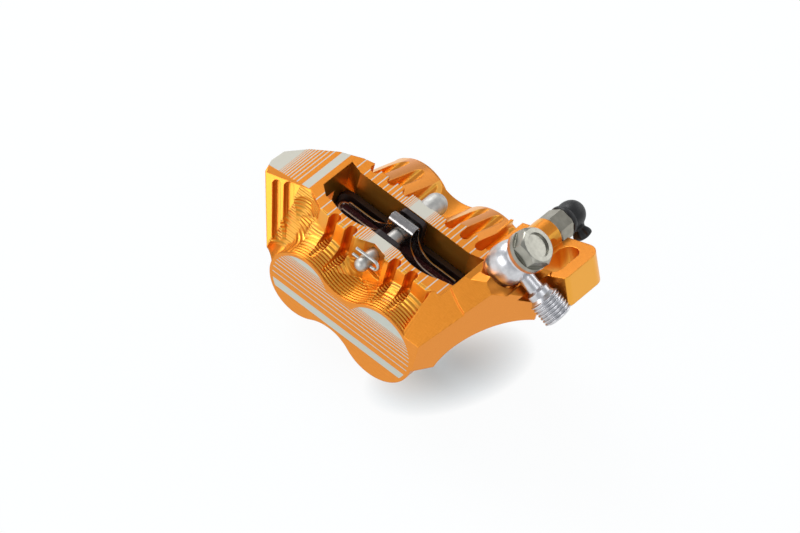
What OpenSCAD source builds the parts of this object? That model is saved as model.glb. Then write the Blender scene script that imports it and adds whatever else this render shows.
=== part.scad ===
// Four-piston bicycle disc brake caliper, in millimetres.
// X runs along the row of pistons towards the hose, Y along the rotor's axis
// towards the bore caps, Z outwards from the wheel. The origin lies on the
// rotor's mid plane, midway between the piston axes.
// Inner pieces lie at negative Y, on the etched face's side.

/* [Pistons] */
// Distance between the axes of the small and the large pistons
piston_pitch = 26.5; // [25.5:0.5:29]
// Bore of the small pistons
small_bore_d = 16; // [15:0.5:16.5]
// Bore of the large pistons
large_bore_d = 18; // [17:0.5:18.5]
// Wall of the lobes around the small bores
small_lobe_wall = 2.4; // [2:0.1:2.8]
// Wall of the lobes around the large bores
large_lobe_wall = 3.1; // [2.6:0.1:3.4]
// Room for fluid behind an inner piston
piston_room = 1.8; // [1:0.1:2.6]
// Wall and floor of the piston cups
piston_wall = 1.6; // [1.2:0.1:2.4]
// Width of a seal along its bore
seal_w = 2; // [1.6:0.1:2.4]
// Depth of a seal's groove in the bore's wall
seal_depth = 1.3; // [1:0.1:1.6]
// Distance from the bore's mouth to the seal's groove
seal_setback = 2; // [1.5:0.1:3]

/* [Body] */
// Distance from the rotor's mid plane to the etched inner face
inner_half = 21; // [20:0.5:23]
// Distance from the rotor's mid plane to the outer face
outer_half = 29.7; // [29:0.1:32]
// Height of the top deck above the piston axes
deck_z = 19.6; // [19:0.1:21]
// Height of the bridges' undersides above the piston axes
bridge_z = 12; // [11:0.5:13]
// Distance from the rotor's mid plane to the deck's edge on either side
deck_half = 11.4; // [11:0.1:12]
// X of the tip of the leading bridge
tip_x = -38.4; // [-41:0.1:-38]
// Radius of the coves between the lobes and the deck
cove_r = 6; // [4:0.5:7]
// Radius of the waist between two lobes
waist_r = 10.9; // [9:0.1:13]
// Slope of the lobes' backs from the outer face up to the deck
back_slope = 22.5; // [18:0.5:24]
// Radius of the cooling grooves
groove_r = 1.4; // [1:0.1:1.6]
// Height of the arch over the rotor under the trailing arm
arch_r = 18; // [17:0.5:19]

/* [Pads] */
// Gap between the linings with the brake released
rotor_gap = 5; // [4.6:0.1:5.4]
// Thickness of a lining
lining_t = 2.3; // [1.8:0.1:2.6]
// Thickness of a pad's back plate
plate_t = 1.7; // [1.5:0.1:2]
// Reach of the back plates past the small bore
lead_overlap = 1.9; // [1:0.1:2.2]
// Reach of the back plates past the large bore
trail_overlap = 0; // [-0.5:0.1:0.2]
// Height of the linings' upper edge above the piston axes
lining_top = 9; // [8:0.5:9.5]
// Height of the back plates' shoulders above the piston axes
plate_top = 11.6; // [11.5:0.1:12.4]
// Depth of the back plates' lower edge below the piston axes
plate_bottom = 9.5; // [8.5:0.5:10.5]

/* [Pin and spring] */
// Diameter of the pad pin
pin_d = 4; // [3.5:0.1:4.4]
// Height of the pad pin above the piston axes
pin_z = 16.3; // [15.5:0.1:16.6]
// Diameter of the pin's domed head
pin_head_d = 6.4; // [5.6:0.1:7]
// Length of the pin's domed head
pin_head_l = 7.8; // [6:0.2:9]
// Length of the pin's nose in front of the deck's wall
pin_nose_l = 6; // [5.5:0.1:7]
// Diameter of the clip's wire
clip_wire_d = 0.9; // [0.7:0.1:1.1]
// Length of the clip's legs past the pin's axis
clip_l = 3; // [2.8:0.1:4]
// Thickness of the pad spring's sheet
spring_t = 0.5; // [0.4:0.05:0.6]
// Width of the pad spring's saddle along X
saddle_w = 8.2; // [7:0.2:8.4]
// Width of the pad spring across the rotor
spring_w = 3.8; // [3.4:0.1:4]
// Reach of the spring's wings from the pin
wing_reach = 18.5; // [17:0.5:19]
// Height of the spring's fold above the piston axes
fold_z = 20.8; // [20:0.2:21.4]
// Height of the wings' upper edges above the piston axes
wing_top = 11.2; // [11:0.1:11.6]

/* [Mount] */
// Distance between the two mounting slots
mount_pitch = 74; // [74:0.5:75]
// X of the middle between the slots, on the mounting plane
mount_x = 8.3; // [7.9:0.1:8.7]
// Y of the slots' middles
mount_y = 19; // [18.8:0.1:19.8]
// Z of the middle between the slots, on the mounting plane
mount_z = 2; // [1.6:0.1:2.2]
// Tilt of the mounting plane against the piston row
mount_tilt = 24; // [22:0.5:26]
// Thickness of the mounting ears
ear_t = 9; // [8:0.5:9.5]
// Width of a mounting slot
slot_w = 6.3; // [6.1:0.1:6.5]
// Length of a mounting slot
slot_l = 12.5; // [11:0.5:13]
// Wall around a slot's ends
ear_wall = 3; // [2.6:0.1:3.4]
// Reach of an ear past its slot's middle
ear_reach = 7.1; // [6.4:0.1:7.8]
// Diameter of the room for a mounting bolt's head
bolt_head_room = 10.2; // [10:0.1:10.6]

/* [Hose fitting] */
// X of the middle of the fitting's seat
port_x = 28.9; // [28.7:0.1:29.5]
// Y of the middle of the fitting's seat
port_y = 4.3; // [4:0.1:4.5]
// Z of the middle of the fitting's seat
port_z = 23.9; // [23.7:0.1:24.5]
// Lean of the fitting's bolt from Z towards X
port_tilt = 28; // [26:0.5:30]
// Lean of the fitting's bolt from Z towards Y
port_lean = 10; // [8:0.5:12]
// Diameter of the fitting's ball
ball_d = 11.7; // [11:0.1:12]
// Height of the ball between its two washer faces
ball_h = 10.3; // [10:0.1:10.6]
// Diameter of the bolt's shank
bolt_d = 5.8; // [5.4:0.1:6]
// Depth of the bolt's thread in the body
bolt_depth = 6; // [5:0.5:6]
// Width of the bolt's hexagon across its flats
bolt_af = 10; // [9:0.5:11]
// Height of the bolt's hexagon
bolt_hex_h = 3.6; // [3.2:0.2:4.6]
// Diameter of the sealing washers and the bolt's flange
washer_d = 11.8; // [11:0.1:12.4]
// Diameter of the washer between the ball and its seat
seat_washer_d = 9.6; // [9:0.1:10.4]
// Thickness of a sealing washer
washer_t = 1; // [0.8:0.1:1.2]
// Distance from the ball's middle to the stub's end
stub_l = 19.5; // [19:0.5:21]
// Diameter of the stub's thread
stub_d = 8.5; // [8:0.1:9]
// Length of the stub's thread
stub_thread_l = 6.8; // [6:0.2:7.2]
// Diameter of the stub's neck
neck_d = 4.4; // [4:0.1:5]
// Turn of the stub from X towards Y about the bolt
stub_turn = 6.5; // [4:0.5:8]
// Bore of the stub
stub_bore_d = 3; // [2.5:0.1:3.4]

/* [Bleed fitting] */
// X of the bleed nipple's axis
bleed_x = 29.4; // [29:0.1:29.6]
// Z of the bleed nipple's axis
bleed_z = 22.4; // [22:0.1:22.8]
// Diameter of the boss around the nipple
boss_d = 9.4; // [9:0.1:10]
// Y of the boss's outer end
boss_end = 26; // [25.6:0.1:26.6]
// Diameter of the nipple's thread
nipple_d = 6; // [5.5:0.1:6]
// Width of the nipple's hexagon across its flats
nipple_af = 8; // [7:0.5:9]
// Length of the nipple's hexagon
nipple_hex_l = 5.6; // [5:0.2:6]
// Length of the nipple's thread in its boss
nipple_thread_l = 8; // [7:0.5:9]
// Length of the nipple's barbed tip
nipple_tip_l = 5; // [4.6:0.1:5.2]
// Diameter of the dust cap
cap_d = 8.2; // [7.2:0.2:8.4]
// Length of the dust cap
cap_l = 8.2; // [7:0.2:8.6]

/* [Bore caps] */
// Length of a cap's thread in its bore
bore_cap_l = 5; // [4.5:0.1:5.5]
// Radial step between a bore and its cap's thread
bore_cap_step = 1.1; // [1:0.1:1.2]
// Height of a cap's rim above the outer face
bore_cap_rim = 1; // [0.8:0.1:1.4]
// Diameter of the rubber of a cap's seal
cap_seal_d = 1.4; // [1.2:0.1:1.5]

/* [Clearances] */
// Radial running clearance of pistons, pin and nipple
run = 0.05; // [0.03:0.01:0.08]
// Gap between the fitting and each of its washers, and around fixed pieces
face_gap = 0.02; // [0.01:0.01:0.04]
// Clearance of the pads in their pocket, and of the pin in the pads
slide = 0.3; // [0.25:0.05:0.4]
// Travel of each pad towards the rotor
pad_stroke = 1; // [0.6:0.1:1.2]
// Room left around the fitting's moving stub
sweep_room = 0.7; // [0.5:0.1:1]

/* [Hidden] */
$fn = 64;
eps = 0.01;
far = 60;

// Each bore: X of its axis, radius of the bore, radius of its lobe
small_bore = [-piston_pitch / 2, small_bore_d / 2, small_bore_d / 2 + small_lobe_wall];
large_bore = [piston_pitch / 2, large_bore_d / 2, large_bore_d / 2 + large_lobe_wall];
bores = [small_bore, large_bore];

// Pads and their pocket, measured from the rotor's mid plane
lining_y = rotor_gap / 2;
plate_y = lining_y + lining_t;
plate_back = plate_y + plate_t;
pocket_y = plate_back + slide;
plate_x0 = small_bore[0] - small_bore[1] - lead_overlap;
plate_x1 = large_bore[0] + large_bore[1] + trail_overlap;
pocket_x0 = plate_x0 - slide;
pocket_x1 = plate_x1 + slide;
tab_top = pin_z + pin_d / 2 + 1.2;
tab_half = pin_d / 2 + 2.2;
tab_corner_r = 1.5;
plate_corner_r = 4;
waist_cut_r = 9;
waist_cut_drop = 6;
lining_inset = 0.8;
lining_slit = 1.2;

// The window over the pads: how far its edge lies from the rotor's mid plane
// at the inner corners, the inner bulges by the bores and the outer corners
lead_corner_y = 4.2;
lead_corner_l = 3;
trail_corner_y = 5.4;
trail_corner_l = 5;
bulge_y = 8.2;
bulge_half = 6.4;
outer_corner_y = 8.1;
outer_corner_l = 4;

// Body
blind_wall = 2.2;
small_back_drop = 0.7;
piston_l = inner_half - blind_wall - plate_back - piston_room;
cap_floor = outer_half - bore_cap_l;
front_half = deck_half + 0.8;
inner_cove_y = -(deck_half + cove_r);
flank_lean = 31;
flank_y = -8.2;
flank_foot = 2.4;
// Top and foot in X and Z, and width, of the pockets in the slanting end wall
flank_pocket_runs = [[[-33.8, 15], [-26.6, 3.2], 2.4], [[-30.3, 16.4], [-23.3, 4.6], 3]];
flank_pocket_depth = 1.8;
flank_scoop_x = -23.4;
flank_scoop_r = 5;
flank_scoop_depth = 1.8;
flank_scoop_top = 6;
arm_slope = 45;
arm_front_z = 9.4;
slope_top_y = (deck_z - arm_front_z) / tan(arm_slope) - inner_half;
arm_tip = [41.4, 8.6];
arm_x = large_bore[0] + 6.4;
arm_foot = 0.4;
corner_x = 25.7;
ridge_l = 2.6;
block_top = port_z + 4;
block_lift = 0.8;
block_x = pocket_x1 + 0.9;
block_y = -8.6;
block_l = 4.8;
block_drop = 1.8;
boss_start = port_y + washer_d / 2 + sweep_room;
arch_y = 2;
arch_z = -5.5;

// Corners of the deck's outline behind and in front of the leading bridge
bridge_back = [[tip_x + 0.3, -3.2], [tip_x + 4.4, 2.8], [tip_x + 10.4, 8.2], [tip_x + 16.4, deck_half]];
bridge_front = [[tip_x + 13.9, flank_y], [tip_x + 0.6, flank_y - 1.8]];
scoop_x = -17;

// Recess in the deck's wall around the pin's nose, and the bowl in front of it
nose_recess = [[-6.2, -far], [-5.8, -deck_half - 0.9], [-0.8, -deck_half + 1.5], [3.7, -deck_half + 0.3],
    [5, -deck_half - 2], [5.6, -far]];
recess_floor = pin_z - 5.5;
bowl_r = 6.5;
bowl_z = pin_z - 2.3;
pin_head_sink = 0.4;
head_room = 1;
head_drop = 0.6;

// X of the cooling grooves
inner_small_grooves = [-13.7, -8];
inner_large_grooves = [7.2, 12.9];
outer_small_grooves = [-17.5, -11.7, -6.4];
outer_large_grooves = [8.4, 13.6, 18.8];
inner_groove_start = 18.2;
inner_groove_end = 10.6;
inner_groove_rise = -0.3;
outer_groove_start = 10.8;
outer_groove_rise = 1.3;

// Hose fitting, measured along the bolt from the seat
ball_z = washer_t + ball_h / 2;
head_z = 2 * washer_t + ball_h;
flange_t = 1.2;
step_x = ball_d / 2 + sweep_room;
collar_l = 3;
collar_d = 6.4;
stub_step_x = stub_l - stub_thread_l - collar_l;
thread_pitch = 0.95;
ball_collar_d = 9.4;
bolt_bore_d = 2;
seat_sink = 2.5;
ball_sink = 2;
cross_room = 0.4;

// Mounting ears, measured in the mount's frame
slot_x = mount_pitch / 2;
ear_half = slot_l / 2 + ear_wall;
ear_r = 4.4;
trail_root = 12;
lead_root = 10;
web_x = 13;
web_l = 16;
web_drop = 1;

// Frames and shared shapes

// Extrudes an outline drawn in X and Z from one Y to another
module along_y(y0, y1) {
    translate([0, y1, 0]) rotate([90, 0, 0]) linear_extrude(y1 - y0) children();
}

// A round bar along Y
module bar_y(x, z, r, y0, y1) {
    translate([x, y0, z]) rotate([-90, 0, 0]) cylinder(r = r, h = y1 - y0);
}

// Turns an outline of radius and Y about an axis along Y
module turned_y(x, z) {
    translate([x, 0, z]) rotate([-90, 0, 0]) rotate_extrude() children();
}

// The hose fitting's frame: origin on the seat, Z along the bolt
module port_frame() {
    translate([port_x, port_y, port_z]) rotate([-port_lean, port_tilt, 0]) children();
}

// The mount's frame: origin midway between the slots, Z along the bolts
module mount_frame() {
    translate([mount_x, mount_y, mount_z]) rotate([0, -mount_tilt, 0]) children();
}

module rounded_rect(x0, y0, x1, y1, r) {
    translate([x0 + r, y0]) square([x1 - x0 - 2 * r, y1 - y0]);
    translate([x0, y0 + r]) square([x1 - x0, y1 - y0 - 2 * r]);
    for (x = [x0 + r, x1 - r], y = [y0 + r, y1 - r]) translate([x, y]) circle(r);
}

module slot_outline(w, l) {
    square([w, l - w], center = true);
    for (s = [-1, 1]) translate([0, s * (l - w) / 2]) circle(w / 2);
}

// A plain ring about Z
module ring(r_in, r_out, h) {
    difference() {
        cylinder(r = r_out, h = h);
        translate([0, 0, -eps]) cylinder(r = r_in, h = h + 2 * eps);
    }
}

// Caliper body

// Centre of the circle of radius waist_r that touches both lobes
waist_a = small_bore[2] + waist_r;
waist_b = large_bore[2] + waist_r;
waist_dx = (waist_a * waist_a - waist_b * waist_b + piston_pitch * piston_pitch) / (2 * piston_pitch);
waist_x = small_bore[0] + waist_dx;
waist_z = sqrt(waist_a * waist_a - waist_dx * waist_dx);

module lobes_outline() {
    for (b = bores) translate([b[0], 0]) circle(b[2]);
    for (s = [-1, 1]) difference() {
        polygon([[small_bore[0], 0], [large_bore[0], 0], [waist_x, s * waist_z]]);
        translate([waist_x, s * waist_z]) circle(waist_r);
    }
}

// Concave flare from a lobe out to the deck's wall
module cove(b) {
    intersection() {
        turned_y(b[0], 0) difference() {
            translate([0, inner_cove_y]) square([b[2] + cove_r, cove_r + eps]);
            translate([b[2] + cove_r, inner_cove_y]) circle(cove_r);
        }
        translate([b[0] - far, -far, 0]) cube([2 * far, 2 * far, deck_z]);
    }
}

module deck_outline() {
    polygon(concat([[tip_x, flank_y]], bridge_back, [
        [scoop_x - 1.6, deck_half + 0.9], [scoop_x, deck_half], [pocket_x1 + 1, deck_half],
        [pocket_x1 + 1, slope_top_y], [arm_x + 0.6, slope_top_y], [arm_x - 0.6, -front_half],
        [small_bore[0] - 0.8, -front_half],
        [scoop_x - 1.5, -deck_half]
    ], bridge_front));
}

module deck() {
    intersection() {
        translate([0, 0, bridge_z]) linear_extrude(deck_z - bridge_z) deck_outline();
        along_y(-far, far) end_profile(far);
    }
}

// Side view of the leading end, from the bridge's tip down to the small lobe and back to x1
module end_profile(x1) {
    polygon([
        [tip_x, deck_z], [tip_x, deck_z - 3], [small_bore[0] - small_bore[2] - 0.2, -flank_foot],
        [x1, -flank_foot], [x1, deck_z]
    ]);
}

// Walls that carry the deck on both sides of the pocket
module deck_walls() {
    linear_extrude(deck_z) intersection() {
        deck_outline();
        for (y = [-deck_half, pocket_y - 1.5]) translate([pocket_x0 + 1, y])
            square([pocket_x1 - pocket_x0, deck_half - pocket_y + 1.5]);
    }
}

// Slanting end wall from the leading bridge's tip down to the small lobe
module flank() {
    intersection() {
        along_y(-inner_half, deck_half) end_profile(small_bore[0]);
        union() {
            translate([0, 0, -far]) linear_extrude(2 * far) deck_outline();
            translate([tip_x, -inner_half, -far])
                cube([small_bore[0] - tip_x, inner_half + flank_y, 2 * far]);
        }
        translate([0, flank_y, deck_z]) rotate([-flank_lean, 0, 0])
            translate([-far, 0, -far]) cube([2 * far, far, 2 * far]);
    }
}

// Scoop in the slanting end wall beside the small lobe, with a round upper end
module flank_scoop() {
    translate([0, flank_y, deck_z]) rotate([-flank_lean, 0, 0])
        translate([flank_scoop_x, flank_scoop_depth - flank_scoop_r, -flank_scoop_top]) {
            translate([0, 0, -far]) cylinder(r = flank_scoop_r, h = far);
            sphere(flank_scoop_r);
        }
}

// Two upright pockets milled into the slanting end wall
module flank_pockets() {
    for (p = flank_pocket_runs)
        translate([0, flank_y, deck_z]) rotate([-flank_lean, 0, 0]) translate([0, 0, -deck_z])
            flank_pocket(p[0], p[1], p[2]);
}

module flank_pocket(top, foot, w) {
    run_l = norm(foot - top);
    turn = atan2(foot[0] - top[0], top[1] - foot[1]);
    translate([(top[0] + foot[0]) / 2, flank_pocket_depth, (top[1] + foot[1]) / 2]) rotate([90, 0, 0])
        rotate(turn) linear_extrude(2 * flank_pocket_depth) slot_outline(w, run_l + w);
}

// A lobe of the outer half, whose back rises from the outer face to the deck
module outer_lobe(b, drop) {
    intersection() {
        translate([b[0], outer_half, -drop]) rotate([90 - back_slope, 0, 0])
            cylinder(r = b[2], h = far, center = true);
        translate([-far, pocket_y - 1, -b[2]]) cube([2 * far, outer_half - pocket_y + 1, deck_z + b[2]]);
    }
}

// Upright cooling groove with a round floor, from the lobe b's surface upwards
module groove(b, x, y0, y1, rise) {
    off = x - b[0];
    floor_z = sqrt(b[2] * b[2] - off * off) + rise + groove_r;
    bar_y(x, floor_z, groove_r, y0, y1);
    translate([x - groove_r, y0, floor_z]) cube([2 * groove_r, y1 - y0, far]);
    for (y = [y0, y1]) {
        translate([x, y, floor_z]) sphere(groove_r);
        translate([x, y, floor_z]) cylinder(r = groove_r, h = far);
    }
}

module inner_grooves(b, places) {
    for (x = places) groove(b, x, -inner_groove_start, -inner_groove_end, inner_groove_rise);
}

// Arm from the inner half over the rotor to the trailing ear, with a raised block below the hose fitting
module arm() {
    arm_slab(0);
    intersection() {
        arm_slab(block_lift);
        linear_extrude(far) polygon([
            [block_x, far], [block_x, block_y], [block_x + block_l, block_y - block_drop],
            [arm_tip[0], block_y - 3 * block_drop], [arm_tip[0], far]
        ]);
    }
}

module arm_slab(lift) {
    intersection() {
        translate([0, 0, -arm_foot]) linear_extrude(deck_z + far) polygon([
            [arm_x, -inner_half], [corner_x, -inner_half], arm_tip, [arm_tip[0] - 2, mount_y],
            [bleed_x, mount_y], [bleed_x - boss_d / 2, boss_start + eps], [arm_x, boss_start + eps]
        ]);
        along_y(-inner_half, mount_y) polygon([
            [large_bore[0], -arm_foot], [corner_x + 4, -arm_foot], [arm_tip[0] + 1, bridge_z],
            [arm_tip[0] + 1, block_top], [port_x + 4, block_top], [port_x - 2, block_top - 2],
            [pocket_x1 + ridge_l, block_top - 2], [pocket_x1, deck_z], [large_bore[0], deck_z]
        ]);
        translate([0, -inner_half, arm_front_z + lift]) rotate([arm_slope, 0, 0])
            translate([-far, -far, -2 * far]) cube([2 * far, 3 * far, 2 * far]);
    }
}

// Everything that the arch over the rotor and the fitting's seat take away
module arm_cuts() {
    translate([pocket_x1 - 3, arch_y, arch_z]) rotate([0, 90, 0]) cylinder(r = arch_r, h = far);
    port_frame() {
        translate([-far / 2, -far, seat_sink])
            cube([far / 2 + step_x, far + washer_d / 2 + sweep_room, far]);
        cylinder(d = ball_d + sweep_room, h = far);
        rotate(stub_turn) {
            stub_room(0, stub_step_x, neck_d / 2 + sweep_room);
            stub_room(stub_step_x - sweep_room, stub_l + sweep_room, stub_d / 2 + sweep_room / 2);
        }
    }
}

// Room along the stub, round on its far side and open above and on the side that it swivels to
module stub_room(x0, x1, r) {
    translate([x0, 0, ball_z]) {
        rotate([0, 90, 0]) cylinder(r = r, h = x1 - x0);
        cube([x1 - x0, r, far]);
        translate([0, -far, -r]) cube([x1 - x0, far, far]);
    }
}

// Ears with their slots, and the web that ties the trailing ear to the large lobe
module ears() {
    mount_frame() {
        linear_extrude(ear_t)
            rounded_rect(slot_x - trail_root, -ear_half, slot_x + ear_reach, ear_half, ear_r);
        linear_extrude(ear_t)
            rounded_rect(-slot_x - ear_reach, -ear_half, lead_root - slot_x, ear_half, ear_r);
        translate([web_x, -ear_half, -web_drop]) cube([web_l, 2 * ear_half, ear_t + web_drop]);
    }
}

// Slots, room for the bolts' heads and room for the posts that the ears rest on
module ear_cuts() {
    mount_frame() translate([web_x + web_l, -ear_half - slide, -far]) cube(far);
    mount_frame() for (s = [-1, 1]) translate([s * slot_x, 0, 0]) {
        translate([0, 0, -eps]) linear_extrude(ear_t + 2 * eps) slot_outline(slot_w, slot_l);
        translate([0, 0, ear_t]) linear_extrude(far)
            slot_outline(bolt_head_room, bolt_head_room + slot_l - slot_w);
        translate([0, 0, -far]) linear_extrude(far)
            slot_outline(slot_w + 2 * ear_wall, slot_l + 2 * ear_wall);
    }
}

module bleed_boss() {
    bar_y(bleed_x, bleed_z, boss_d / 2, boss_start, boss_end);
    translate([bleed_x - boss_d / 2, boss_start, bridge_z + 4])
        cube([boss_d, boss_end - boss_start, bleed_z - bridge_z - 4]);
}

// Room for the pads, with a window above them whose edge winds along the deck
module pad_pocket() {
    translate([pocket_x0, -pocket_y, -far])
        cube([pocket_x1 - pocket_x0, 2 * pocket_y, far + plate_top + slide]);
    translate([0, 0, bridge_z - 1]) linear_extrude(far) {
        polygon([
            [pocket_x0, -lead_corner_y], [pocket_x0 + lead_corner_l, -pocket_y],
            [pocket_x1 - trail_corner_l, -pocket_y], [pocket_x1, -trail_corner_y],
            [pocket_x1, outer_corner_y], [pocket_x1 - outer_corner_l, pocket_y],
            [pocket_x0 + outer_corner_l, pocket_y], [pocket_x0, outer_corner_y]
        ]);
        for (x = [small_bore[0] + 1.5, large_bore[0] - 1.5]) window_bulge(x);
    }
}

// Flat arc of the window's inner edge that reaches out to bulge_y
module window_bulge(x) {
    rise = bulge_y - pocket_y;
    r = (bulge_half * bulge_half + rise * rise) / (2 * rise);
    intersection() {
        translate([x, -bulge_y + r]) circle(r);
        translate([x - bulge_half, -bulge_y - 1]) square([2 * bulge_half, rise + 2]);
    }
}

module rotor_slot() {
    translate([-far, -lining_y, -far]) cube([2 * far, rotor_gap, far + bridge_z]);
}

// Bore of one piston with its seal's groove, mirrored for the inner half
module bore_cut(b, y1) {
    bar_y(b[0], 0, b[1], pocket_y - 3, y1);
    bar_y(b[0], 0, b[1] + seal_depth, pocket_y + seal_setback, pocket_y + seal_setback + seal_w);
}

module bolt_thread() {
    port_frame() translate([0, 0, -bolt_depth]) cylinder(d = bolt_d, h = bolt_depth + 1);
}

module pin_valley() {
    bar_y(0, bowl_z, bowl_r, -far, -front_half);
    translate([0, 0, recess_floor]) linear_extrude(far) polygon(nose_recess);
    bar_y(0, pin_z - head_drop, pin_head_d / 2 + head_room, deck_half - pin_head_sink, far);
}

module caliper_body() {
    color("darkorange") difference() {
        union() {
            along_y(-inner_half, -lining_y) lobes_outline();
            along_y(lining_y, outer_half) lobes_outline();
            intersection() {
                for (b = bores) cove(b);
                translate([pocket_x0, -far, 0]) cube([corner_x - pocket_x0, 2 * far, far]);
            }
            outer_lobe(small_bore, small_back_drop);
            outer_lobe(large_bore, 0);
            deck();
            deck_walls();
            difference() {
                flank();
                flank_scoop();
            }
            difference() {
                union() {
                    arm();
                    ears();
                    bleed_boss();
                }
                arm_cuts();
            }
        }
        pad_pocket();
        rotor_slot();
        for (b = bores) {
            mirror([0, 1, 0]) bore_cut(b, inner_half - blind_wall);
            bore_cut(b, outer_half + 1);
            bar_y(b[0], 0, b[1] + bore_cap_step, cap_floor, outer_half + 1);
        }
        inner_grooves(small_bore, inner_small_grooves);
        inner_grooves(large_bore, inner_large_grooves);
        for (x = outer_small_grooves) groove(small_bore, x, outer_groove_start, far, outer_groove_rise);
        for (x = outer_large_grooves) groove(large_bore, x, outer_groove_start, far, outer_groove_rise);
        flank_pockets();
        pin_valley();
        bar_y(0, pin_z, pin_d / 2 + run, -far, far);
        bolt_thread();
        bar_y(bleed_x, bleed_z, nipple_d / 2, boss_end - nipple_thread_l - 0.5, boss_end + 1);
        bar_y(bleed_x, bleed_z, nipple_af / 2 / cos(30) + slide, boss_end, far);
        ear_cuts();
    }
}

// Bore caps and their seals

cap_groove = cap_seal_d + 0.1;

module bore_cap(b) {
    r = b[1] + bore_cap_step - face_gap;
    color("darkorange") difference() {
        union() {
            bar_y(b[0], 0, r, cap_floor, outer_half);
            bar_y(b[0], 0, r + 0.7, outer_half, outer_half + bore_cap_rim);
        }
        turned_y(b[0], 0) translate([r - cap_groove, cap_floor + 1]) square([far, cap_groove]);
        bar_y(b[0], 0, b[1] - 2.4, cap_floor - 1, cap_floor + 2);
        translate([b[0], outer_half - 2, 0]) rotate([-90, 0, 0]) cylinder(d = 10, h = far, $fn = 6);
    }
}

module cap_seal(b) {
    color("black") turned_y(b[0], 0)
        translate([b[1] + bore_cap_step - cap_seal_d / 2 - face_gap, cap_floor + 1 + cap_groove / 2])
            circle(d = cap_seal_d);
}

module bore_cap_small() bore_cap(small_bore);
module bore_cap_large() bore_cap(large_bore);
module cap_seal_small() cap_seal(small_bore);
module cap_seal_large() cap_seal(large_bore);

// Pistons and their seals, drawn on the outer side

module piston(b) {
    r = b[1] - run;
    color("silver") difference() {
        bar_y(b[0], 0, r, plate_back, plate_back + piston_l);
        bar_y(b[0], 0, r - piston_wall, plate_back - 1, plate_back + piston_l - piston_wall);
    }
}

module seal(b) {
    y0 = pocket_y + seal_setback;
    color("black") translate([b[0], y0 + 0.05, 0]) rotate([-90, 0, 0])
        ring(b[1] - run / 2, b[1] + seal_depth, seal_w - 0.1);
}

module outer_piston_small() piston(small_bore);
module outer_piston_large() piston(large_bore);
module inner_piston_small() mirror([0, 1, 0]) piston(small_bore);
module inner_piston_large() mirror([0, 1, 0]) piston(large_bore);
module outer_seal_small() seal(small_bore);
module outer_seal_large() seal(large_bore);
module inner_seal_small() mirror([0, 1, 0]) seal(small_bore);
module inner_seal_large() mirror([0, 1, 0]) seal(large_bore);

// Pads, drawn on the outer side

module plate_outline() {
    difference() {
        union() {
            rounded_rect(plate_x0, -plate_bottom, plate_x1, plate_top, plate_corner_r);
            rounded_rect(-tab_half, 0, tab_half, tab_top, tab_corner_r);
        }
        translate([0, pin_z]) circle(pin_d / 2 + slide);
        translate([waist_x, -plate_bottom - waist_cut_drop]) circle(waist_cut_r);
    }
}

module lining_outline() {
    difference() {
        rounded_rect(plate_x0 + lining_inset, -plate_bottom + lining_inset, plate_x1 - lining_inset,
            lining_top, plate_corner_r - lining_inset);
        translate([waist_x, -plate_bottom - waist_cut_drop]) circle(waist_cut_r + lining_inset);
        translate([-lining_slit / 2, 0]) square([lining_slit, far]);
    }
}

module outer_pad_plate() color("dimgray") along_y(plate_y, plate_back) plate_outline();
module inner_pad_plate() mirror([0, 1, 0]) outer_pad_plate();
module outer_pad_lining() color("maroon") along_y(lining_y, plate_y) lining_outline();
module inner_pad_lining() mirror([0, 1, 0]) outer_pad_lining();

// Pad spring: a sheet folded over the pin, whose two sides run out into low wings

spring_y = plate_y - pad_stroke - slide - spring_w / 2;
spring_foot = 9.9;
wing_fillet = 7;
curl_drop = 0.8;

// Outline of one side in X and Z, up to the fold
module spring_side() {
    difference() {
        union() {
            translate([-wing_reach, spring_foot]) square([2 * wing_reach, wing_top - spring_foot]);
            translate([-saddle_w / 2, spring_foot])
                square([saddle_w, fold_z - spring_w / 2 - spring_foot]);
            for (m = [0, 1]) mirror([m, 0]) difference() {
                translate([saddle_w / 2 - eps, wing_top - eps]) square(wing_fillet);
                translate([saddle_w / 2 + wing_fillet, wing_top + wing_fillet]) circle(wing_fillet);
            }
        }
        translate([0, pin_z]) circle(pin_d / 2 + slide);
    }
}

// Half ring of sheet over the two sides
module spring_fold() {
    difference() {
        translate([-saddle_w / 2, 0, 0]) rotate([0, 90, 0])
            ring(spring_w / 2 - spring_t, spring_w / 2, saddle_w);
        translate([-far, -far, -2 * far]) cube(2 * far);
    }
}

// Half ring that joins the wings at the leading end
module spring_curl() {
    difference() {
        ring(spring_w / 2 - spring_t, spring_w / 2, wing_top - curl_drop - spring_foot);
        translate([0, -far, -far]) cube(2 * far);
    }
}

module pad_spring() {
    half = spring_w / 2;
    color("dimgray") translate([0, spring_y, 0]) {
        along_y(half - spring_t, half) spring_side();
        along_y(-half, spring_t - half) spring_side();
        translate([0, 0, fold_z - half - eps]) spring_fold();
        translate([eps - wing_reach, 0, spring_foot]) spring_curl();
    }
}

// Pad pin and its clip

pin_y0 = -deck_half - pin_nose_l;
clip_setback = 0.6;
clip_y = pin_y0 + pin_d / 2 + clip_wire_d / 2 + clip_setback;
clip_hole_r = clip_wire_d / 2 + slide / 2;
clip_gap = pin_d / 2 + clip_wire_d / 2 + 0.25;
clip_offset = 0.6;
clip_back = pin_d / 2 + 2;

// Half outline of the pin, with a round nose and a domed head
module pin_outline() {
    pin_r = pin_d / 2;
    head_r = pin_head_d / 2;
    head_dome_y = deck_half + pin_head_l - head_r;
    intersection() {
        union() {
            translate([0, pin_y0 + pin_r]) square([pin_r, deck_half - pin_y0 - pin_r]);
            translate([0, pin_y0 + pin_r]) circle(pin_r);
            translate([0, deck_half - pin_head_sink])
                square([head_r, head_dome_y - deck_half + pin_head_sink]);
            translate([0, head_dome_y]) circle(head_r);
        }
        translate([0, -far]) square([far, 2 * far]);
    }
}

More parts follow.
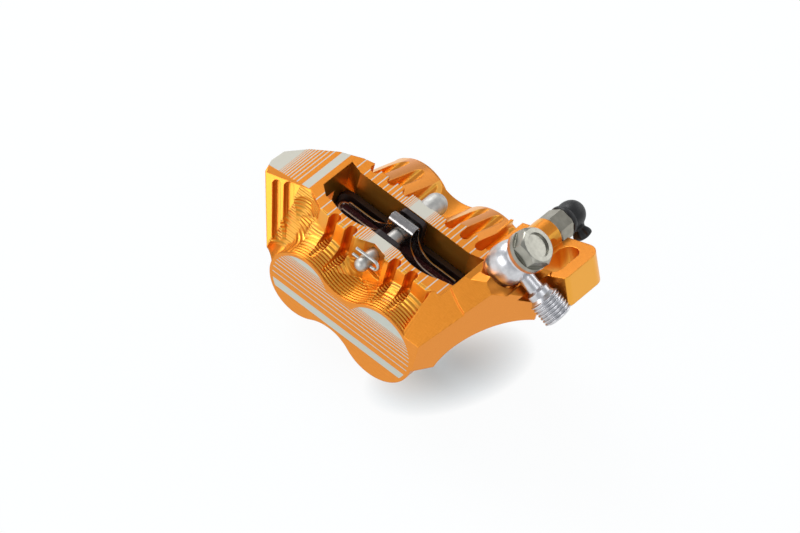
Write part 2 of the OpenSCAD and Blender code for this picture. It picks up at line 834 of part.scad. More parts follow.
module pad_pin() {
    color("silver") difference() {
        turned_y(0, pin_z) pin_outline();
        translate([-far, clip_y, pin_z]) rotate([0, 90, 0]) cylinder(r = clip_hole_r, h = 2 * far);
    }
}

// Hairpin of wire: one leg through the pin, the other above it
module pin_clip() {
    wire_r = clip_wire_d / 2;
    bend_r = clip_gap / 2;
    color("silver") {
        for (leg = [[0, -clip_back], [clip_gap, clip_offset - clip_back]])
            translate([leg[1], clip_y, pin_z + leg[0]]) rotate([0, 90, 0])
                cylinder(r = wire_r, h = clip_l - leg[1]);
        translate([clip_l, clip_y, pin_z + bend_r]) rotate([90, 0, 0]) rotate(-90)
            rotate_extrude(angle = 180) translate([bend_r, 0]) circle(wire_r);
    }
}

// Hose fitting

module banjo() {
    color("silver") port_frame() translate([0, 0, ball_z]) rotate(stub_turn) difference() {
        union() {
            rotate_extrude() ball_outline();
            cylinder(d = ball_collar_d, h = ball_h - 2 * face_gap, center = true);
            rotate([0, 90, 0]) stub();
        }
        cylinder(d = bolt_d + 2 * run, h = far, center = true);
        rotate([0, 90, 0]) cylinder(d = stub_bore_d, h = far);
    }
}

// Half of the ball's outline, drawn out towards the seat and flat where it meets the washer
module ball_outline() {
    half = ball_h / 2 - face_gap;
    intersection() {
        union() {
            circle(d = ball_d);
            translate([0, -ball_sink]) circle(d = ball_d);
            translate([0, -ball_sink]) square([ball_d / 2, ball_sink]);
        }
        translate([0, -half]) square([ball_d, 2 * half]);
    }
}

// Neck, collar and threaded end of the stub, drawn along Z
module stub() {
    crest = stub_d / 2;
    root = crest - 0.5;
    thread_z = stub_l - stub_thread_l;
    turns = floor(stub_thread_l / thread_pitch);
    rotate_extrude() polygon(concat(
        [[0, 0], [neck_d / 2, 0], [neck_d / 2, stub_step_x], [collar_d / 2, stub_step_x + 0.6]],
        [[collar_d / 2, thread_z - 0.8], [root, thread_z]],
        [for (i = [0:turns - 1], p = [[root, 0.1], [crest, 0.35], [crest, 0.65], [root, 0.9]])
            [p[0], thread_z + (i + p[1]) * thread_pitch]],
        [[root, stub_l - 0.3], [root - 0.3, stub_l], [0, stub_l]]
    ));
}

module banjo_bolt() {
    color("gray") port_frame() difference() {
        union() {
            translate([0, 0, -bolt_depth + 0.3]) cylinder(d = bolt_d - 2 * face_gap, h = bolt_depth + head_z);
            translate([0, 0, head_z]) cylinder(d = washer_d, h = flange_t);
            intersection() {
                translate([0, 0, head_z]) cylinder(d = bolt_af / cos(30), h = flange_t + bolt_hex_h, $fn = 6);
                translate([0, 0, head_z]) cylinder(d1 = bolt_af / cos(30) + 2 * bolt_hex_h,
                    d2 = bolt_af - 0.4, h = flange_t + bolt_hex_h);
            }
        }
        translate([0, 0, head_z + flange_t + bolt_hex_h - 0.6]) cylinder(d = bolt_af - 3, h = far);
        translate([0, 0, -bolt_depth]) cylinder(d = bolt_bore_d, h = bolt_depth + ball_z);
        translate([0, 0, ball_z]) rotate(stub_turn) rotate([0, 90, 0])
            cylinder(d = stub_bore_d + cross_room, h = far, center = true);
    }
}

module banjo_washer(z, d) {
    color("peru") port_frame() translate([0, 0, z]) ring(bolt_d / 2 + 2 * run, d / 2, washer_t);
}

module banjo_washer_lower() banjo_washer(0, seat_washer_d);
module banjo_washer_upper() banjo_washer(washer_t + ball_h, washer_d);

// Bleed nipple and its dust cap, drawn along Z and laid along Y

nipple_seat = 0.4;
nipple_turned = 15;
nipple_bore_d = 1.8;
chamfer_d = nipple_af + 0.5;
tip_d = 4.4;
barb_d = 5;
barb_l = 2;
hex_end = nipple_seat + nipple_hex_l;
cap_tail_turn = 35;
cap_tail_d = 4;
cap_tail_l = 2.2;

module bleed_frame() {
    translate([bleed_x, boss_end, bleed_z]) rotate([-90, 0, 0]) children();
}

module bleed_nipple() {
    color("gray") bleed_frame() difference() {
        union() {
            translate([0, 0, -nipple_thread_l])
                cylinder(r = nipple_d / 2 - run, h = nipple_thread_l + nipple_seat + eps);
            translate([0, 0, nipple_seat]) intersection() {
                rotate(nipple_turned) cylinder(d = nipple_af / cos(30), h = nipple_hex_l, $fn = 6);
                cylinder(d1 = chamfer_d, d2 = chamfer_d + 2 * nipple_hex_l, h = nipple_hex_l);
                cylinder(d1 = chamfer_d + 2 * nipple_hex_l, d2 = chamfer_d, h = nipple_hex_l);
            }
            translate([0, 0, hex_end - eps]) cylinder(d = tip_d, h = nipple_tip_l);
            translate([0, 0, hex_end + nipple_tip_l - barb_l])
                cylinder(d1 = barb_d, d2 = tip_d - 0.6, h = barb_l);
        }
        translate([0, 0, 1 - nipple_thread_l]) cylinder(d = nipple_bore_d, h = far);
    }
}

module bleed_cap() {
    r = cap_d / 2;
    dome = cap_l - r;
    color("black") bleed_frame() translate([0, 0, hex_end]) difference() {
        union() {
            cylinder(r = r, h = dome);
            translate([0, 0, dome]) sphere(r);
            translate([0, 0, 0.9]) rotate_extrude() translate([r - 0.2, 0]) circle(0.7);
            rotate(cap_tail_turn) translate([r - 1, 0, dome - 0.6]) rotate([0, 80, 0]) cap_tail();
        }
        translate([0, 0, -1]) cylinder(d = barb_d + 4 * run, h = nipple_tip_l + 1.6);
        translate([0, 0, -far]) cylinder(d = far, h = far);
    }
}

// Folded tail of the dust cap
module cap_tail() {
    cylinder(d = cap_tail_d, h = cap_tail_l);
    translate([0, 0, cap_tail_l]) sphere(d = cap_tail_d);
}

caliper_body();
bore_cap_small();
bore_cap_large();
cap_seal_small();
cap_seal_large();
inner_piston_small();
inner_piston_large();
outer_piston_small();
outer_piston_large();
inner_seal_small();
inner_seal_large();
outer_seal_small();
outer_seal_large();
inner_pad_plate();
outer_pad_plate();
inner_pad_lining();
outer_pad_lining();
pad_spring();
pad_pin();
pin_clip();
banjo();
banjo_bolt();
banjo_washer_lower();
banjo_washer_upper();
bleed_nipple();
bleed_cap();
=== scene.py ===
import math

import bmesh
import bpy
from mathutils import Matrix, Vector


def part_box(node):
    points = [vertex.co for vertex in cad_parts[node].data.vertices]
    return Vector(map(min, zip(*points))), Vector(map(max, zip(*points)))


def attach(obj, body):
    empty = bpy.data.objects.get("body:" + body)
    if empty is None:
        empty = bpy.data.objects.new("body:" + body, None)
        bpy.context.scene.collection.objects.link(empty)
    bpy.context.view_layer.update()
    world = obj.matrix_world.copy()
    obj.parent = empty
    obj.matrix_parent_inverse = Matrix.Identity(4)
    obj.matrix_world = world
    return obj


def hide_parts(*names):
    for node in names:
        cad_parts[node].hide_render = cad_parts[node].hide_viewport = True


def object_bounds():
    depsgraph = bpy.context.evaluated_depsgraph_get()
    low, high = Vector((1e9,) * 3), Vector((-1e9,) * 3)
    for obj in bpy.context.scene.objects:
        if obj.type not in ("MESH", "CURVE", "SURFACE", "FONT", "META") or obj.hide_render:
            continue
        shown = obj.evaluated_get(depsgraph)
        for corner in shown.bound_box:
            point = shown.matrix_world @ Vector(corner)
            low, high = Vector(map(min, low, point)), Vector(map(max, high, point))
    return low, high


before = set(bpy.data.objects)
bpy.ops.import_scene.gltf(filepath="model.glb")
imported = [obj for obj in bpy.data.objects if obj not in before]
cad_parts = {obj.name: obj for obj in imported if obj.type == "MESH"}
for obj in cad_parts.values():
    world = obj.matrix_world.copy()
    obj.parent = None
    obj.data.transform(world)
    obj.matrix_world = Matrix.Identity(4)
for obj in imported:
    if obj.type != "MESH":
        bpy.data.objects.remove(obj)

MM = 0.001
cad_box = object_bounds()

# Photograph: size in pixels, scale at the caliper and the pixel that shows the frame's origin
IMAGE_W = 800
IMAGE_H = 533
PX_PER_MM = 3.75
ORIGIN_PX = (387.1, 274.8)

# Camera: angles in degrees, lens and sensor in millimetres, nearest and furthest view in metres
VIEW_AZIMUTH = 27.5
VIEW_ELEVATION = 47.5
VIEW_ROLL = 15.8
LENS_MM = 300
SENSOR_MM = 36
CLIP_M = (0.01, 50)

# Sizes of the caliper that the finishes refer to, in millimetres; each lobe is its X and radius
INNER_FACE = 21.0
DECK_Z = 19.6
DECK_HALF = 11.4
DECK_END_X = 22.2
POCKET_LEAD = -23.5
POCKET_TRAIL = 22.6
POCKET_HALF = 9
POCKET_LIP = 0.3
POCKET_ROUND = 0.5
ARM_X = 19.6
LOBES = ((-13.25, 10.4), (13.25, 12.1))
WAIST_X = (-8, 7)
WAIST_TOP = 5.2

# Etched marks: solid areas, wide stripes, and each row's first spacing and growth, in millimetres
SOLID_TIP_X = -34.8
SOLID_PIN_HALF = 2.6
SOLID_FACE_Z = 7.9
STRIP_X = (-27.4, -25.2)
BAND_Z = (-5.9, -3.5)
ETCH_LINE = 0.32
TIP_ROW = (0.4, 0.14)
LAND_ROW = (0.4, 0.15)
FACE_ROW = (0.45, 0.17)
LAST_LINE_Z = -2.4
STRIP_MARGIN = 1.2
BRIDGE_MARGIN = 0.6
FACE_RIM = 1.0
FACE_SKIN = 0.15

# Cut surfaces and cutter marks: places and spacings in millimetres, then the marks' relief
COVE_MARGIN = 0.4
COVE_FOOT_Z = 3
END_SCOOP_X = -27.6
END_WALL_X = -19.0
END_SCOOP_BACK_Y = -7.5
END_SCOOP_DROP = 0.6
GROOVE_FOOT_Z = 6
GROOVE_MARGIN = 1
COVE_PITCH = 1.0
SCOOP_PITCH = 1.1
ARM_PITCH = 0.8
MARK_HEIGHT = 0.5
ARM_MARK_SHARE = 0.08
ETCH_SINK = 0.1
RELIEF = 0.22

# Limits on a face's normal along one axis: square to it, the front face, level, across, leaning and rising
SQUARE = 0.98
FRONT = 0.97
LEVEL = 0.9
ACROSS = 0.75
LEANING = 0.5
RISING = 0.05

# Painted shadow below the arm, in millimetres: middle, long axis, start and end of its fade, and squeeze
# across
PAINTED_SHADOW_AT = (26, 0)
PAINTED_SHADOW_AXIS = (0.3, 0.954)
PAINTED_SHADOW_R = (2, 27)
PAINTED_SHADOW_SQUEEZE = 2.0

# Dust cap, in millimetres and degrees: rings as height and radius, tail as reach and scale of each ring
CAP_SIDES = 28
CAP_BORE_R = 2.7
CAP_BORE_L = 5.6
CAP_RINGS = (
    (0.9, 4.4), (1.5, 4.3), (1.8, 3.8), (2.4, 3.95), (4.0, 4.1),
    (5.6, 3.8), (7.0, 3.0), (8.0, 1.6), (8.2, 0.7),
)
CAP_TAIL_TURN = 40
CAP_TAIL_RISE = 0.15
CAP_TAIL_Y = 3.9
CAP_TAIL_OUT = 3.0
CAP_TAIL_ROOT = 1.9
CAP_TAIL = ((0.5, 0.95), (0.9, 0.85), (1.5, 1.45), (2.6, 1.18), (3.6, 0.8), (4.0, 0.5))
CAP_SMOOTHING = 2
CAP_END_FACING = 0.9
CAP_TAIL_FACING = 0.5

# Colours of the finishes, in linear light, with where flakes start and how dark a dull patch is
ORANGE = (0.82, 0.29, 0.032, 1)
ORANGE_DEEP = (0.75, 0.245, 0.022, 1)
# Painted light: the lighter, golden tone given to the hollows to offset their shade
PAINTED_LIGHT_GOLDEN = (0.88, 0.40, 0.05, 1)
ETCHED = (0.56, 0.54, 0.46, 1)
RUBBER = (0.007, 0.007, 0.007, 1)
RUBBER_WORN = (0.015, 0.015, 0.016, 1)
STEEL = (0.56, 0.55, 0.52, 1)
SPRING = (0.42, 0.40, 0.39, 1)
BLACK_OXIDE = (0.018, 0.014, 0.014, 1)
BLACK_WORN = (0.04, 0.03, 0.03, 1)
MAROON = (0.115, 0.014, 0.02, 1)
MAROON_DARK = (0.05, 0.01, 0.012, 1)
COPPER_FLAKE = (0.2, 0.12, 0.09, 1)
FLAKE_LEAST = 0.62
SILVER = (0.72, 0.72, 0.74, 1)
PLATED = (0.40, 0.39, 0.335, 1)
NICKEL = (0.36, 0.34, 0.28, 1)
COPPER = (0.66, 0.24, 0.085, 1)
# Painted light: the paper's cool tint cancels the orange light bounced into the floor's shade
PAPER_TINTS_AGAINST_BOUNCE = ((0.71, 0.89, 0.97, 1), (0.74, 0.92, 0.99, 1))
WHITE = (1, 1, 1, 1)
SKY = (0.92, 0.95, 1.0, 1)
DULL_SHARE = 0.78

# Studio: floor, least share and span of its glow, lamps as place and size in metres and power in watts
FLOOR_SIZE = 6.0
FLOOR_DROP_MM = 0.02
GLOW_LEAST = 0.14
GLOW_SPAN = 0.8
SKY_STRENGTH = 0.55
LAMP_AIM = (0, 0, 0.01)
LAMPS = {
    "key": ((-0.75, 0.25, 0.62), (0.6, 0.6), 6.5),
    "front_fill": ((-0.45, -0.85, 0.28), (0.8, 0.4), 3.8),
    "right_fill": ((0.8, -0.2, 0.55), (0.4, 0.7), 1.5),
    "back_rim": ((0.2, 0.85, 0.4), (0.9, 0.3), 1.6),
}

# Numbers of the inputs of a Mix node for colours, which share their names with other inputs
MIX_FACTOR = 0
MIX_FIRST = 6
MIX_SECOND = 7


# Shader expressions

class Value:
    """An output socket of a finish; arithmetic on it adds Math nodes."""

    def __init__(self, finish, socket):
        self.finish = finish
        self.socket = socket

    def math(self, operation, first, second=0.0):
        return self.finish.node("ShaderNodeMath", {"operation": operation}, {0: first, 1: second})["Value"]

    def __add__(self, other):
        return self.math("ADD", self, other)

    def __sub__(self, other):
        return self.math("SUBTRACT", self, other)

    def __mul__(self, other):
        return self.math("MULTIPLY", self, other)

    def __truediv__(self, other):
        return self.math("DIVIDE", self, other)

    def __radd__(self, other):
        return self.math("ADD", other, self)

    def __rsub__(self, other):
        return self.math("SUBTRACT", other, self)

    def __rmul__(self, other):
        return self.math("MULTIPLY", other, self)

    def __rtruediv__(self, other):
        return self.math("DIVIDE", other, self)

    def above(self, limit):
        return self.math("GREATER_THAN", self, limit)

    def below(self, limit):
        return self.math("LESS_THAN", self, limit)

    def size(self):
        return self.math("ABSOLUTE", self)

    def part(self):
        return self.math("FRACT", self)

    def log(self):
        return self.math("LOGARITHM", self, math.e)

    def least(self, other):
        return self.math("MINIMUM", self, other)

    def most(self, other):
        return self.math("MAXIMUM", self, other)

    def within(self, low, high):
        return self.above(low) * self.below(high)

    def fade(self, low, high):
        """0 up to low, 1 from high on, and straight between."""
        return ((self - low) / (high - low)).most(0.0).least(1.0)

    def waves(self, pitch):
        return self.math("SINE", self * (2 * math.pi / pitch))


class Finish:
    """One material: its node tree, its Principled shader and the coordinates on the piece in millimetres."""

    def __init__(self, name):
        self.material = bpy.data.materials.new(name)
        self.material.use_nodes = True
        self.tree = self.material.node_tree
        self.shader = self.tree.nodes["Principled BSDF"]
        place = self.node("ShaderNodeTexCoord")
        self.x, self.y, self.z = (axis * (1 / MM) for axis in self.split(place["Object"]))
        self.nx, self.ny, self.nz = self.split(place["Normal"])

    def node(self, kind, settings=None, numbered=None, **named):
        """Adds a node with inputs by number or by name; returns its outputs by name."""
        node = self.tree.nodes.new(kind)
        for name, setting in (settings or {}).items():
            setattr(node, name, setting)
        for number, item in (numbered or {}).items():
            self.plug(item, node.inputs[number])
        for name, item in named.items():
            self.plug(item, node.inputs[name.replace("_", " ")])
        return {out.name: Value(self, out) for out in node.outputs if out.enabled}

    def plug(self, item, socket):
        if isinstance(item, Value):
            self.tree.links.new(item.socket, socket)
        else:
            socket.default_value = item

    def set(self, **named):
        """Feeds the shader's own inputs."""
        for name, item in named.items():
            self.plug(item, self.shader.inputs[name.replace("_", " ")])

    def split(self, vector):
        parts = self.node("ShaderNodeSeparateXYZ", Vector=vector)
        return parts["X"], parts["Y"], parts["Z"]

    def noise(self, scale, detail=2.0, stretch=(1, 1, 1)):
        """Noise over the piece, with scale in cycles per millimetre and a stretch for each axis."""
        where = self.node("ShaderNodeCombineXYZ", X=self.x * stretch[0], Y=self.y * stretch[1],
                          Z=self.z * stretch[2])["Vector"]
        return self.node("ShaderNodeTexNoise", Vector=where, Scale=scale, Detail=detail)["Fac"]

    def mix(self, factor, first, second):
        inputs = {MIX_FACTOR: factor, MIX_FIRST: first, MIX_SECOND: second}
        return self.node("ShaderNodeMix", {"data_type": "RGBA"}, inputs)["Result"]

    def bump(self, height, depth_mm, edge_mm=0.0):
        """Feeds the shader's normal with a relief of that depth, over edges rounded by edge_mm."""
        inputs = {"Strength": 1.0, "Distance": depth_mm * MM, "Height": height}
        if edge_mm:
            inputs["Normal"] = self.node("ShaderNodeBevel", {"samples": 6}, Radius=edge_mm * MM)["Normal"]
        self.set(Normal=self.node("ShaderNodeBump", **inputs)["Normal"])


def dress(material, *names):
    """Gives CAD nodes a finish."""
    for name in names:
        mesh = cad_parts[name].data
        mesh.materials.clear()
        mesh.materials.append(material)


# Finishes

def thinning_lines(distance, row):
    """1 on etched lines: solid where distance is below 0 and further apart as it grows, in millimetres."""
    first_gap, growth = row
    past = distance.most(0.0)
    spacing = past * growth + first_gap
    count = (1 + past * (growth / first_gap)).log() / growth
    return (count + ETCH_LINE / 2).part().below(ETCH_LINE / spacing).most(distance.below(0.0))


def deck_marks(f):
    """Lines along Y on the top deck: solid at the bridge's tip and by the pin, thinning out between."""
    tip_line = thinning_lines(f.x - SOLID_TIP_X, TIP_ROW) * f.x.below(STRIP_X[0] - STRIP_MARGIN)
    land_line = thinning_lines(f.x.size() - SOLID_PIN_HALF, LAND_ROW)
    on_bridge = f.x.below(POCKET_LEAD - BRIDGE_MARGIN)
    return (on_bridge * tip_line + (1 - on_bridge) * land_line).most(f.x.within(*STRIP_X))


def face_marks(f):
    """Lines along X on the inner face: solid over the lobes' tops, thinning out down to one wide band."""
    lines = thinning_lines(SOLID_FACE_Z - f.z, FACE_ROW) * f.z.above(LAST_LINE_Z)
    return rim_of_face(f) * lines.most(f.z.within(*BAND_Z))


def rim_of_face(f):
    """1 inside the inner face's outline less a bare rim, measured from the two lobes and the waist."""
    inside = f.x.within(*WAIST_X) * f.z.within(BAND_Z[0], WAIST_TOP)
    for lobe_x, lobe_r in LOBES:
        across = f.x - lobe_x
        inside = inside.most((across * across + f.z * f.z).below((lobe_r - FACE_RIM) ** 2))
    return inside


def body_finish():
    """Satin orange anodise with etched marks, rows of cutter marks and painted light: a lighter, golden tone
    in the hollows.
    """
    f = Finish("orange_anodise_machined")
    on_deck = f.nz.above(SQUARE) * f.z.above(DECK_Z - FACE_SKIN) * f.x.below(DECK_END_X)
    on_face = f.ny.below(-SQUARE) * f.y.below(FACE_SKIN - INNER_FACE)
    etched = (on_deck * deck_marks(f)).most(on_face * face_marks(f))
    # Rows of cutter marks on the inner half's scooped flank, across the end wall's scoop and on the arm
    in_cove = (f.y.within(COVE_MARGIN - INNER_FACE, COVE_MARGIN - DECK_HALF) * f.z.above(COVE_FOOT_Z)
               * f.x.within(END_WALL_X, ARM_X))
    ridged = in_cove * f.nz.above(RISING) * f.ny.above(-FRONT) * f.nx.size().below(ACROSS)
    in_scoop = (f.x.within(END_SCOOP_X, END_WALL_X) * f.y.within(COVE_MARGIN - INNER_FACE, END_SCOOP_BACK_Y)
                * f.z.within(COVE_FOOT_Z, DECK_Z - END_SCOOP_DROP))
    on_slope = f.ny.below(-LEANING) * f.nz.above(LEANING) * f.x.above(ARM_X)
    marks = (f.y.waves(COVE_PITCH) * ridged + f.z.waves(SCOOP_PITCH) * in_scoop * f.nz.below(LEVEL)
             + f.x.waves(ARM_PITCH) * on_slope * ARM_MARK_SHARE)
    # Painted light: a lighter, golden tone in the scoops, the pads' pocket and the cooling grooves
    in_pocket = (f.y.within(-POCKET_HALF, POCKET_HALF) * f.z.below(DECK_Z - POCKET_LIP)
                 * f.x.within(POCKET_LEAD - POCKET_ROUND, POCKET_TRAIL))
    in_groove = f.y.above(DECK_HALF - GROOVE_MARGIN) * f.z.above(GROOVE_FOOT_Z) * f.nx.size().above(LEANING)
    painted_light_in_hollows = in_cove.most(in_scoop).most(in_pocket).most(in_groove)
    grain = f.noise(scale=0.9, detail=3.0, stretch=(1.0, 6.0, 6.0))
    satin = f.mix(grain.fade(0.3, 0.75), ORANGE_DEEP, ORANGE)
    # Etched marks over the satin tone, with painted light in the hollows
    f.set(Base_Color=f.mix(etched, f.mix(painted_light_in_hollows, satin, PAINTED_LIGHT_GOLDEN), ETCHED))
    f.set(Metallic=0.92 - etched * 0.8)
    f.set(Roughness=0.26 + grain * 0.1 + etched * 0.3 + on_deck * (1 - etched) * 0.16)
    f.set(Coat_Weight=(1 - etched) * 0.1, Coat_Roughness=0.15)
    f.bump(marks * MARK_HEIGHT - etched * ETCH_SINK, RELIEF, edge_mm=0.3)
    return f.material


def plain_anodise():
    """The same anodise on turned pieces."""
    f = Finish("orange_anodise_turned")
    grain = f.noise(scale=2.0, detail=3.0)
    f.set(Base_Color=f.mix(grain, ORANGE_DEEP, ORANGE), Metallic=1.0, Roughness=0.22 + grain * 0.12)
    f.set(Coat_Weight=0.3)
    f.bump(grain, depth_mm=0.03, edge_mm=0.2)
    return f.material


def metal(name, colour, rough, scale=3.0, stretch=(1, 1, 1)):
    """A bare or plated metal with a fine grain and duller patches."""
    f = Finish(name)
    grain = f.noise(scale, detail=3.0, stretch=stretch)
    worn = f.noise(scale=0.5)
    dull = tuple(c * DULL_SHARE for c in colour[:3]) + (1,)
    f.set(Base_Color=f.mix(worn.fade(0.35, 0.7), dull, colour), Metallic=1.0)
    f.set(Roughness=rough + grain * 0.14)
    f.bump(grain, depth_mm=0.02, edge_mm=0.15)
    return f.material


def rubber(name, rough):
    """Black moulded rubber."""
    f = Finish(name)
    grain = f.noise(scale=8.0, detail=3.0)
    f.set(Base_Color=f.mix(grain, RUBBER, RUBBER_WORN), Roughness=rough + grain * 0.15)
    f.set(Specular_IOR_Level=0.35)
    f.bump(grain, depth_mm=0.03, edge_mm=0.2)
    return f.material


def lining():
    """Pressed friction compound with flakes of copper."""
    f = Finish("friction_compound")
    grit = f.noise(scale=5.0, detail=4.0)
    flake = f.noise(scale=2.2, detail=1.0).above(FLAKE_LEAST)
    f.set(Base_Color=f.mix(flake, f.mix(grit, MAROON, MAROON_DARK), COPPER_FLAKE))
    f.set(Roughness=0.75 + grit * 0.15, Metallic=flake * 0.3)
    f.bump(grit, depth_mm=0.12)
    return f.material


def black_plate():
    """Blackened steel of the pads' backing plates."""
    f = Finish("black_oxide_plate")
    grain = f.noise(scale=6.0, detail=3.0)
    f.set(Base_Color=f.mix(grain, BLACK_OXIDE, BLACK_WORN), Metallic=0.6)
    f.set(Roughness=0.35 + grain * 0.15)
    f.bump(grain, depth_mm=0.03, edge_mm=0.2)
    return f.material


def four(kind):
    """The nodes of one kind in all four bores."""
    return [f"{side}_{kind}_{size}" for side in ("inner", "outer") for size in ("small", "large")]


dress(body_finish(), "caliper_body")
dress(plain_anodise(), "bore_cap_small", "bore_cap_large")
dress(rubber("seal_rubber", rough=0.5), "cap_seal_small", "cap_seal_large", *four("seal"))
dress(metal("ground_piston", STEEL, rough=0.2, stretch=(1, 8, 1)), *four("piston"))
dress(black_plate(), "inner_pad_plate", "outer_pad_plate")
dress(lining(), "inner_pad_lining", "outer_pad_lining")
dress(metal("spring_strip", SPRING, rough=0.16), "pad_spring")
dress(metal("blasted_pin", STEEL, rough=0.42, scale=10.0), "pad_pin")
dress(metal("bright_wire", STEEL, rough=0.24), "pin_clip")
dress(metal("satin_alloy", SILVER, rough=0.26), "banjo")
dress(metal("plated_bolt", PLATED, rough=0.24), "banjo_bolt")
dress(metal("copper", COPPER, rough=0.3), "banjo_washer_lower", "banjo_washer_upper")
dress(metal("dull_nickel", NICKEL, rough=0.28), "bleed_nipple")


# Rubber dust cap

def pick_faces(chosen):
    """Selects, in edit mode, just the faces whose middle and normal the test accepts."""
    bpy.ops.mesh.select_mode(type="FACE")
    bpy.ops.mesh.select_all(action="DESELECT")
    shape = bmesh.from_edit_mesh(bpy.context.object.data)
    shape.normal_update()
    for face in shape.faces:
        if chosen(face.calc_center_median(), face.normal):
            face.select_set(True)
    bmesh.update_edit_mesh(bpy.context.object.data)


def grow(step, scale, middle):
    """Extrudes the picked faces by a step and scales their new ends about a point."""
    bpy.ops.mesh.extrude_region_move(TRANSFORM_OT_translate={"value": step})
    bpy.ops.transform.resize(value=(scale, scale, scale), center_override=middle)


def add_dust_cap():
    """A rolled lip, a waist, a domed crown hollowed for the nipple, and a tail with a ball end."""
    low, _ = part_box("bleed_cap")
    nipple_low, nipple_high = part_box("bleed_nipple")
    axis = (nipple_low + nipple_high) / 2
    along = Vector((0, 1, 0))
    seat = Vector((axis.x, low.y, axis.z))
    height, radius = CAP_RINGS[0]
    bpy.ops.object.select_all(action="DESELECT")
    bpy.ops.mesh.primitive_cylinder_add(vertices=CAP_SIDES, radius=radius * MM, depth=height * MM,
                                        location=seat + along * height * MM / 2,
                                        rotation=(math.radians(-90), 0, 0))
    cap = bpy.context.object
    cap.name = "dust_cap"
    bpy.ops.object.transform_apply(location=True, rotation=True, scale=True)
    bpy.ops.object.mode_set(mode="EDIT")
    pick_faces(lambda place, normal: normal.y > CAP_END_FACING)
    for next_height, next_radius in CAP_RINGS[1:]:
        grow(along * (next_height - height) * MM, next_radius / radius, seat + along * next_height * MM)
        height, radius = next_height, next_radius
    # Hollow for the nipple's tip
    pick_faces(lambda place, normal: normal.y < -CAP_END_FACING)
    bpy.ops.mesh.inset(thickness=(CAP_RINGS[0][1] - CAP_BORE_R) * MM)
    grow(along * CAP_BORE_L * MM, 1.0, seat)
    # Tail, drawn out of the side of the crown
    turn = math.radians(CAP_TAIL_TURN)
    out = Vector((math.cos(turn), CAP_TAIL_RISE, -math.sin(turn))).normalized()
    root = seat + along * CAP_TAIL_Y * MM + out * CAP_TAIL_OUT * MM
    pick_faces(lambda place, normal: (place - root).length < CAP_TAIL_ROOT * MM
               and normal.dot(out) > CAP_TAIL_FACING)
    reach = 0.0
    for next_reach, scale in CAP_TAIL:
        grow(out * (next_reach - reach) * MM, scale, root + out * next_reach * MM)
        reach = next_reach
    bpy.ops.object.mode_set(mode="OBJECT")
    smooth = cap.modifiers.new("smooth", "SUBSURF")
    smooth.levels = CAP_SMOOTHING
    smooth.render_levels = CAP_SMOOTHING
    bpy.ops.object.modifier_apply(modifier="smooth")
    bpy.ops.object.shade_smooth()
    cap.data.materials.append(rubber("cap_rubber", rough=0.34))
    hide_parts("bleed_cap")
    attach(cap, "cap")


add_dust_cap()


# Studio

def floor_finish():
    """Pale paper glowing to camera and reflections, which paints out shade save in a painted shadow below
    the arm.
    """
    f = Finish("pale_floor")
    # Cool tint against the orange bounce light in the floor's shade
    f.set(Base_Color=f.mix(f.noise(scale=0.02), *PAPER_TINTS_AGAINST_BOUNCE), Roughness=0.9)
    rays = f.node("ShaderNodeLightPath")
    glow = f.node("ShaderNodeEmission", Color=WHITE, Strength=1.0)["Emission"]
    # Painted shadow: an ellipse below the arm where the glow is held back and the floor's shade shows
    across = f.x - PAINTED_SHADOW_AT[0]
    deep = f.y - PAINTED_SHADOW_AT[1]
    along = across * PAINTED_SHADOW_AXIS[0] + deep * PAINTED_SHADOW_AXIS[1]
    side = (across * PAINTED_SHADOW_AXIS[1] - deep * PAINTED_SHADOW_AXIS[0]) * PAINTED_SHADOW_SQUEEZE
    lit = (along * along + side * side).fade(PAINTED_SHADOW_R[0] ** 2, PAINTED_SHADOW_R[1] ** 2)
    seen = rays["Is Camera Ray"].most(rays["Is Glossy Ray"]) * (lit * GLOW_SPAN + GLOW_LEAST)
    paper = Value(f, f.shader.outputs[0])
    blend = f.node("ShaderNodeMixShader", None, {0: seen, 1: paper, 2: glow})["Shader"]
    f.plug(blend, f.tree.nodes["Material Output"].inputs["Surface"])
    return f.material


def add_floor():
    """A wide floor just below the caliper's lowest point."""
    bpy.ops.object.select_all(action="DESELECT")
    level = cad_box[0][2] - FLOOR_DROP_MM * MM
    bpy.ops.mesh.primitive_plane_add(size=FLOOR_SIZE, location=(0, 0, level))
    floor = bpy.context.object
    floor.name = "floor"
    floor.data.materials.append(floor_finish())


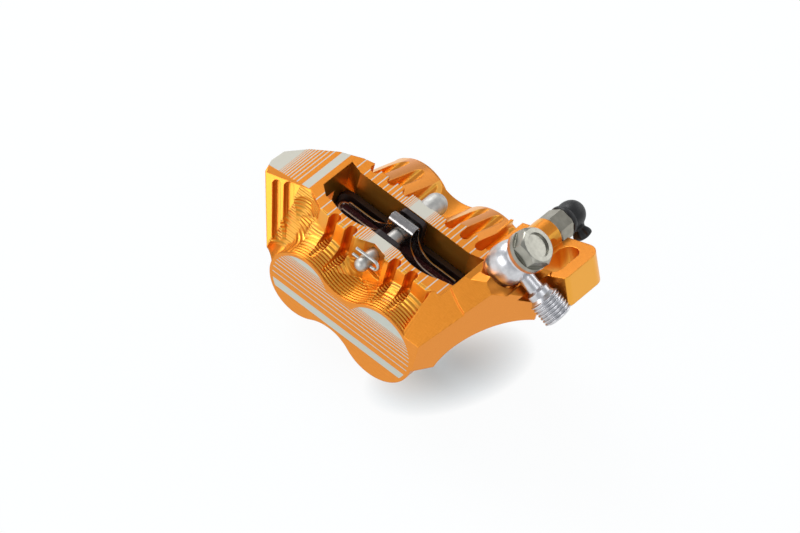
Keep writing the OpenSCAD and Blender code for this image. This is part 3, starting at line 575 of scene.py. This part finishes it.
def add_lamp(name, at, size, power):
    """A rectangular lamp turned towards the caliper."""
    bpy.ops.object.light_add(type="AREA", location=at)
    lamp = bpy.context.object
    lamp.name = name
    lamp.data.shape = "RECTANGLE"
    lamp.data.size = size[0]
    lamp.data.size_y = size[1]
    lamp.data.energy = power
    toward = Vector(LAMP_AIM) - Vector(at)
    lamp.rotation_euler = toward.to_track_quat("-Z", "Y").to_euler()


def add_camera():
    """A long lens, rolled and shifted to frame the caliper as the photograph does."""
    azimuth = math.radians(VIEW_AZIMUTH)
    elevation = math.radians(VIEW_ELEVATION)
    roll = math.radians(VIEW_ROLL)
    back = Vector((math.sin(azimuth) * math.cos(elevation), -math.cos(azimuth) * math.cos(elevation),
                   math.sin(elevation)))
    level = Vector((math.cos(azimuth), math.sin(azimuth), 0))
    rise = back.cross(level)
    right = level * math.cos(roll) + rise * math.sin(roll)
    up = rise * math.cos(roll) - level * math.sin(roll)
    shift_x = (IMAGE_W / 2 - ORIGIN_PX[0]) / PX_PER_MM * MM
    shift_y = (ORIGIN_PX[1] - IMAGE_H / 2) / PX_PER_MM * MM
    focal_px = LENS_MM / SENSOR_MM * IMAGE_W
    distance = focal_px / PX_PER_MM * MM
    at = right * shift_x + up * shift_y + back * distance
    bpy.ops.object.camera_add()
    camera = bpy.context.object
    camera.name = "photo_camera"
    camera.data.lens = LENS_MM
    camera.data.sensor_width = SENSOR_MM
    camera.data.clip_start, camera.data.clip_end = CLIP_M
    camera.matrix_world = Matrix((
        (right.x, up.x, back.x, at.x),
        (right.y, up.y, back.y, at.y),
        (right.z, up.z, back.z, at.z),
        (0, 0, 0, 1),
    ))
    bpy.context.scene.camera = camera


def add_world():
    """A plain pale sky."""
    world = bpy.data.worlds.new("studio")
    bpy.context.scene.world = world
    world.use_nodes = True
    sky = world.node_tree.nodes["Background"]
    sky.inputs["Color"].default_value = SKY
    sky.inputs["Strength"].default_value = SKY_STRENGTH


add_camera()
add_floor()
add_world()
for lamp_name, (lamp_at, lamp_size, lamp_power) in LAMPS.items():
    add_lamp(lamp_name, lamp_at, lamp_size, lamp_power)
bpy.context.scene.view_settings.view_transform = "Standard"
